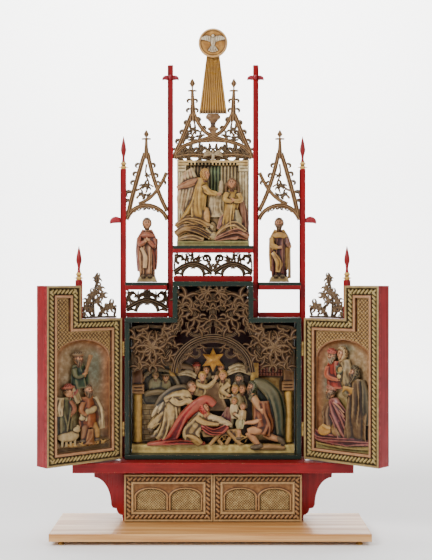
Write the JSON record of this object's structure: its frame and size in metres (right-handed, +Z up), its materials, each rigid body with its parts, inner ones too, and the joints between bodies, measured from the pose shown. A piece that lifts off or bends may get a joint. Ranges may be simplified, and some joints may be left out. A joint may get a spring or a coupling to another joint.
{
  "type": "winged home altar",
  "caption": "Carved and painted wooden winged altar for the home: cupboard base with doors, shrine with relief scenes, hinged wings and a crest of gables and saints on a pine board.",
  "frame": {"origin": "middle of the bounding box on the surface the feet stand on", "axes": "+X to the viewer's right, +Y to the back, +Z up; the open side of the shrine faces -Y"},
  "size_m": [0.8444, 0.238, 1.27],
  "materials": {
    "red_paint": "red oil paint over wood, worn on its edges, satin",
    "green_paint": "dark green oil paint over wood, satin",
    "gold_paint": "gold-brown glaze over carved wood, satin",
    "carved_paint": "carved wood painted in several colours under a brown glaze, satin",
    "stained_wood": "dark stained carved wood with rubbed edges, satin",
    "gilt_wood": "gold paint over carved wood, satin",
    "pine": "varnished pine with knots, satin",
    "brass": "old brass, dull"
  },
  "bodies": {
    "altar": {"foot_front_left": "brass", "foot_front_right": "brass", "foot_back_left": "brass", "foot_back_right": "brass", "base_board": "pine", "predella_cheek_left": "red_paint", "predella_cheek_right": "red_paint", "predella_back": "red_paint", "altar_table": "red_paint", "shrine_floor": "green_paint", "shrine_side_left": "green_paint", "shrine_side_right": "green_paint", "shrine_shoulder_left": "green_paint", "shrine_shoulder_right": "green_paint", "shrine_riser_left": "green_paint", "shrine_riser_right": "green_paint", "shrine_head": "green_paint", "shrine_back": "red_paint", "nativity_relief": "carved_paint", "shrine_tracery": "stained_wood", "hinge_left_upper_case": "brass", "hinge_left_lower_case": "brass", "hinge_right_upper_case": "brass", "hinge_right_lower_case": "brass", "post_outer_left": "red_paint", "post_inner_left": "red_paint", "post_outer_right": "red_paint", "post_inner_right": "red_paint", "rail_left": "red_paint", "rail_right": "red_paint", "rail_centre": "red_paint", "ledge_left": "red_paint", "ledge_right": "red_paint", "ledge_centre": "red_paint", "fretwork_left": "stained_wood", "fretwork_centre": "stained_wood", "annunciation_relief": "carved_paint", "gable_left": "gold_paint", "gable_right": "gold_paint", "gable_centre": "gold_paint", "saint_left": "carved_paint", "saint_right": "carved_paint", "glory_rays": "gilt_wood", "glory_disc": "gilt_wood"},
    "wing_left": {"wing_left_case": "red_paint", "wing_left_frame": "gold_paint", "wing_left_relief": "carved_paint", "wing_left_post": "red_paint", "wing_left_cresting": "stained_wood", "hinge_left_upper_wing": "brass", "hinge_left_lower_wing": "brass"},
    "wing_right": {"wing_right_case": "red_paint", "wing_right_frame": "gold_paint", "wing_right_relief": "carved_paint", "wing_right_post": "red_paint", "wing_right_cresting": "stained_wood", "hinge_right_upper_wing": "brass", "hinge_right_lower_wing": "brass"},
    "door_left": {"predella_door_left": "gold_paint"},
    "door_right": {"predella_door_right": "gold_paint"}
  },
  "joints": [
    {"name": "wing_left_hinge", "type": "hinge", "parent": "altar", "child": "wing_left", "pos_m": [-0.224, 0.0285, 0.3575], "axis": [0, 0, 1], "range_deg": [-41.4, 138.6]},
    {"name": "wing_right_hinge", "type": "hinge", "parent": "altar", "child": "wing_right", "pos_m": [0.224, 0.0285, 0.3575], "axis": [0, 0, -1], "range_deg": [-41.4, 138.6]},
    {"name": "door_left_hinge", "type": "hinge", "parent": "altar", "child": "door_left", "pos_m": [-0.2207, 0.0287, 0.088], "axis": [0, 0, -1], "range_deg": [0, 90]},
    {"name": "door_right_hinge", "type": "hinge", "parent": "altar", "child": "door_right", "pos_m": [0.2207, 0.0287, 0.088], "axis": [0, 0, 1], "range_deg": [0, 90]}
  ]
}
